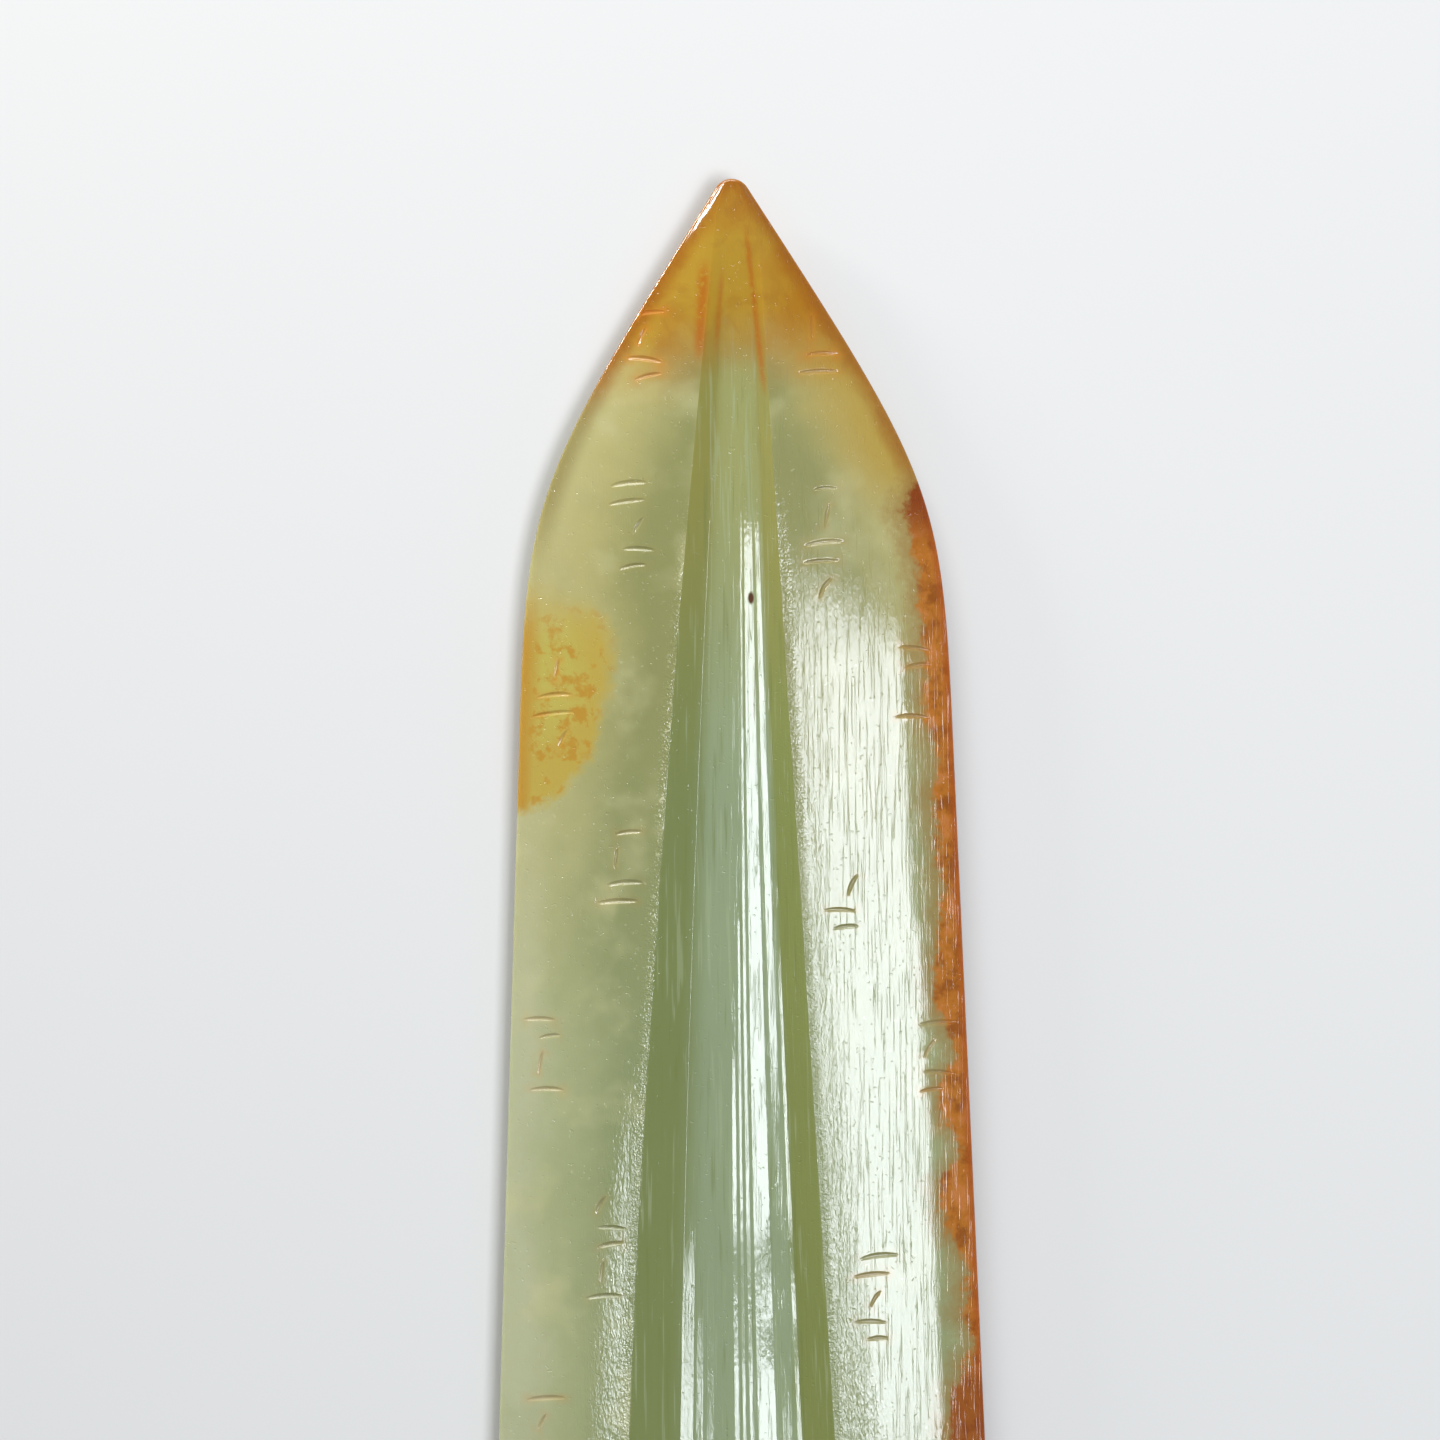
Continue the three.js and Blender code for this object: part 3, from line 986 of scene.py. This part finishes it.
def add_edge_patch(g, at, color):
    """Amber patch on the left edge, faint at the top, with orange spots and an orange rim."""
    upper = g.blob(at.wander_x, at.wander_d, (-24.5, 60.5), (9.0, 10.5), 0.3)
    lower = g.blob(at.wander_x, at.wander_d, (-27.0, 66.0), (10.2, 12.5), 0.2)
    patch = g.times(g.largest(upper, lower), g.ramp(at.wander_d, 49, 59), g.ramp(at.x, -8, -12))
    core = g.blob(at.wander_x, at.wander_d, (-24.0, 62.5), (5.5, 7.5), 0.6)
    spots = g.ramp(g.noise(at.place, 420, 3, 0.7, 0.2), 0.48, 0.66)
    orange = g.largest(spots, g.times(g.invert(core), 0.35), g.ramp(at.edge, 3.0, 0.3))
    color = g.mix(color, srgb(184, 170, 78), g.times(patch, 0.92))
    return g.mix(color, srgb(182, 122, 18), g.times(patch, orange, 0.65))


def add_russet(g, at, color):
    """Russet skin along the right edge, mottled orange and brown, redder at the very edge."""
    reach = g.add(at.russet, g.scaled(at.mottle, 3.4, -1.7), g.scaled(at.fleck, 2.4, -1.2))
    skin = g.ramp(reach, 0.7, -0.6)
    halo = g.ramp(reach, 3.8, -0.2)
    blotch = g.noise(at.place, 380, 3, 0.7, 0.2)
    tone = g.mix(srgb(180, 110, 24), srgb(144, 76, 0), g.ramp(blotch, 0.46, 0.68))
    tone = g.mix(tone, srgb(198, 124, 66), g.times(g.ramp(blotch, 0.46, 0.34), 0.65))
    tone = g.mix(tone, srgb(164, 74, 2), g.times(g.ramp(at.edge, 1.3, 0.2), 0.7))
    dark = g.largest(g.times(g.ramp(at.d, 147, 152), 0.6), g.ramp(at.d, 48, 40))
    tone = g.mix(tone, srgb(132, 56, 0), dark)
    color = g.mix(color, srgb(150, 116, 56), g.times(halo, 0.75))
    return g.mix(color, tone, g.times(skin, 0.95))


def surface_relief(g, at):
    """The finest relief: ripples and scratches of grinding, pits, and tiny chips by the arrises."""
    ripple = g.noise(g.stretched(at.place, 3000, 1100), 1, 2, 0.6)
    lines = g.noise(g.stretched(at.place, 3800, 90), 1, 1, 0.5)
    scratches = g.ramp(lines, 0.57, 0.66)
    pits = g.ramp(g.noise(at.place, 2400, 0, 0.5), 0.24, 0.18)
    bevel = g.ramp(at.groove, 0.6, 0.1)
    right = g.ramp(at.x, -2, 2)
    near_arris = g.ramp(at.arris, 1.9, 0.1)
    chips = g.times(at.grit, near_arris, g.ramp(at.d, 30, 62), g.scaled(bevel, 0.8, 0.2))
    from_arris = g.add(at.arris, g.scaled(at.d, -0.05, 3.5))
    worn = g.times(g.ramp(from_arris, 3.6, -1.5), g.largest(right, g.ramp(at.d, 95, 130)), bevel)
    rippled = g.times(ripple, g.scaled(worn, 1.1, 0.17))
    scratched = g.times(scratches, g.scaled(right, -0.2, -0.04))
    fine = g.add(rippled, g.scaled(lines, 0.17), scratched, g.scaled(pits, -0.35))
    smooth_wall = g.times(at.groove, g.ramp(at.share, 0.3, 0.22), 0.75)
    return g.add(g.times(fine, g.invert(smooth_wall)), g.times(chips, 2.0))


RELIEF_HEIGHT = 0.07 * MM
JADE_IOR = 1.61
LIGHT_ENTERING = 0.5
LIGHT_REACH = 2.2 * MM
LIGHT_REACH_BY_COLOR = (1.0, 0.9, 0.45)


def jade_material():
    material = bpy.data.materials.new("jade")
    material.use_nodes = True
    tree = material.node_tree
    shader = tree.nodes["Principled BSDF"]
    g = Graph(tree)
    at = Ground(g)

    color = g.mix(body_color(g, at), channel_color(g, at), at.groove)
    color = add_tip_amber(g, at, color)
    color = add_edge_patch(g, at, color)
    color = add_russet(g, at, color)
    color = g.mix(color, srgb(200, 124, 36), g.times(at.rust, 0.7))
    pit = g.blob(at.x, at.d, (2.0, 52.6), (0.35, 0.7), 0.6)
    color = g.mix(color, srgb(84, 40, 0), pit)
    tree.links.new(color, shader.inputs["Base Color"])

    relief = surface_relief(g, at)
    bump = g.node("Bump", {"Height": relief, "Strength": 1.0, "Distance": RELIEF_HEIGHT})
    tree.links.new(bump.outputs["Normal"], shader.inputs["Normal"])
    # Polished best in the channel, duller in the strokes and the pit
    worn = g.largest(g.times(at.cut, 0.12), g.times(pit, 0.8))
    polish = g.scaled(g.ramp(at.mottle, 0.35, 0.7), 0.035, 0.1)
    roughness = g.add(polish, worn, g.scaled(at.groove, -0.045))
    tree.links.new(roughness, shader.inputs["Roughness"])
    shader.inputs["IOR"].default_value = JADE_IOR
    shader.inputs["Subsurface Weight"].default_value = LIGHT_ENTERING
    shader.inputs["Subsurface Radius"].default_value = LIGHT_REACH_BY_COLOR
    shader.inputs["Subsurface Scale"].default_value = LIGHT_REACH
    return material


def plain_material(name, color, roughness):
    material = bpy.data.materials.new(name)
    material.use_nodes = True
    shader = material.node_tree.nodes["Principled BSDF"]
    shader.inputs["Base Color"].default_value = color
    shader.inputs["Roughness"].default_value = roughness
    return material


piece.data.materials.append(jade_material())
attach(piece, "root")
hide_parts(NODE)


# ---------------------------------------------------------------- floor, light and camera

FLOOR_REACH = 6
WHITE = (1, 1, 1)
COOL_WHITE = (0.88, 0.92, 1)
# The middle of the view, on the upper blade
VIEW_CENTRE = Vector((-2.0, TIP_Y - 67.8, 6.0)) * MM
CAMERA_HEIGHT = 0.5
CAMERA_TURN = -0.475


def add_floor():
    mesh = bpy.data.meshes.new("floor")
    r = FLOOR_REACH
    mesh.from_pydata([(-r, -r, 0), (r, -r, 0), (r, r, 0), (-r, r, 0)], [], [(0, 1, 2, 3)])
    mesh.materials.append(plain_material("pale_floor", (0.7, 0.7, 0.68, 1), 0.8))
    floor = bpy.data.objects.new("floor", mesh)
    bpy.context.scene.collection.objects.link(floor)


def add_softbox(name, offset, across, along, power, color):
    """A soft light at an offset from the middle of the view, turned to face it."""
    light = bpy.data.lights.new(name, "AREA")
    light.shape = "RECTANGLE"
    light.size, light.size_y = across, along
    light.energy, light.color = power, color
    lamp = bpy.data.objects.new(name, light)
    lamp.location = VIEW_CENTRE + Vector(offset)
    away = Vector(offset).normalized()
    sideways = Vector((0, 1, 0)).cross(away).normalized()
    lamp.rotation_euler = Matrix((sideways, away.cross(sideways), away)).transposed().to_euler()
    bpy.context.scene.collection.objects.link(lamp)


add_floor()
add_softbox("key", (0.231, -0.087, 0.7), across=0.256, along=0.3, power=3.3, color=COOL_WHITE)
add_softbox("fill", (-0.1, 0.62, 0.42), across=0.5, along=0.4, power=4.4, color=WHITE)
add_softbox("rim", (-0.405, 0.37, 0.08), across=0.1, along=0.1, power=1.4, color=WHITE)
world = bpy.data.worlds.new("studio")
world.use_nodes = True
surround = world.node_tree.nodes["Background"]
surround.inputs["Color"].default_value = (0.75, 0.76, 0.78, 1)
surround.inputs["Strength"].default_value = 0.3
bpy.context.scene.world = world
bpy.context.scene.view_settings.view_transform = "Standard"

camera = bpy.data.cameras.new("camera")
camera.lens, camera.sensor_width = 100, 36
camera.clip_start = 0.01
viewer = bpy.data.objects.new("camera", camera)
viewer.location = VIEW_CENTRE + Vector((0, 0, CAMERA_HEIGHT))
viewer.rotation_euler = (0, 0, math.radians(CAMERA_TURN))
bpy.context.scene.collection.objects.link(viewer)
bpy.context.scene.camera = viewer
